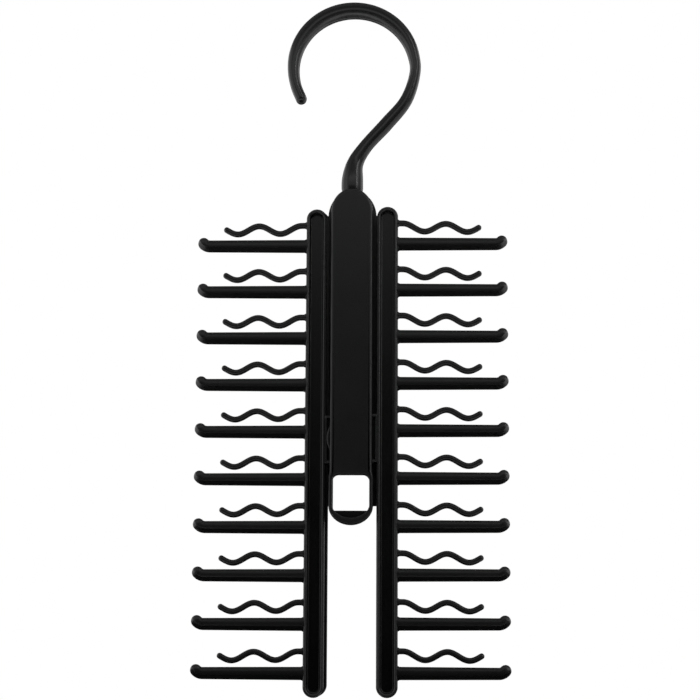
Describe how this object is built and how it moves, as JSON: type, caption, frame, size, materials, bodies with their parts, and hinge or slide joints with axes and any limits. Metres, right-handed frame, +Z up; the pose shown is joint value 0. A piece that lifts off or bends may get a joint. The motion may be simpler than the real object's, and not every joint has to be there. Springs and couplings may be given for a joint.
{
  "type": "folding tie hanger",
  "caption": "Folding necktie and belt hanger: a swivelling hook, a flat centre bar with a window, and two scissor arms of bars with wavy grip fingers.",
  "frame": {"origin": "the inner top of the hook, where the closet rod bears, on the swivel axis", "axes": "+Z up along the swivel axis, +X to the right seen from the front, front facing -Y"},
  "size_m": [0.15, 0.015, 0.34],
  "materials": {
    "gloss_black": "black moulded plastic, smooth and shiny",
    "satin_black": "black moulded plastic, satin with a fine mould texture",
    "arm_black": "black moulded plastic, satin, brighter on the rounded edges",
    "zinc_steel": "zinc-plated steel screw",
    "grey_nylon": "plain dark nylon"
  },
  "bodies": {
    "hook": {"swivel_hook": "gloss_black"},
    "center_bar": {"front_cover": "satin_black", "back_cover": "satin_black", "pivot_screw": "zinc_steel", "pivot_washer": "grey_nylon"},
    "left_arm": {"left_rail": "arm_black", "left_bar_01": "arm_black", "left_finger_01": "arm_black", "left_bar_02": "arm_black", "left_finger_02": "arm_black", "left_bar_03": "arm_black", "left_finger_03": "arm_black", "left_bar_04": "arm_black", "left_finger_04": "arm_black", "left_bar_05": "arm_black", "left_finger_05": "arm_black", "left_bar_06": "arm_black", "left_finger_06": "arm_black", "left_bar_07": "arm_black", "left_finger_07": "arm_black", "left_bar_08": "arm_black", "left_finger_08": "arm_black", "left_bar_09": "arm_black", "left_finger_09": "arm_black", "left_bar_10": "arm_black", "left_finger_10": "arm_black"},
    "right_arm": {"right_rail": "arm_black", "right_bar_01": "arm_black", "right_finger_01": "arm_black", "right_bar_02": "arm_black", "right_finger_02": "arm_black", "right_bar_03": "arm_black", "right_finger_03": "arm_black", "right_bar_04": "arm_black", "right_finger_04": "arm_black", "right_bar_05": "arm_black", "right_finger_05": "arm_black", "right_bar_06": "arm_black", "right_finger_06": "arm_black", "right_bar_07": "arm_black", "right_finger_07": "arm_black", "right_bar_08": "arm_black", "right_finger_08": "arm_black", "right_bar_09": "arm_black", "right_finger_09": "arm_black", "right_bar_10": "arm_black", "right_finger_10": "arm_black"}
  },
  "joints": [
    {"name": "hook_swivel", "type": "hinge", "parent": "hook", "child": "center_bar", "pos_m": [0, 0, -0.09285], "axis": [0, 0, 1], "continuous": true},
    {"name": "left_arm_open", "type": "hinge", "parent": "center_bar", "child": "left_arm", "pos_m": [0, 0, -0.2102], "axis": [0, 1, 0], "range_deg": [0, 18]},
    {"name": "right_arm_open", "type": "hinge", "parent": "center_bar", "child": "right_arm", "pos_m": [0, 0, -0.2102], "axis": [0, -1, 0], "range_deg": [0, 18]}
  ]
}
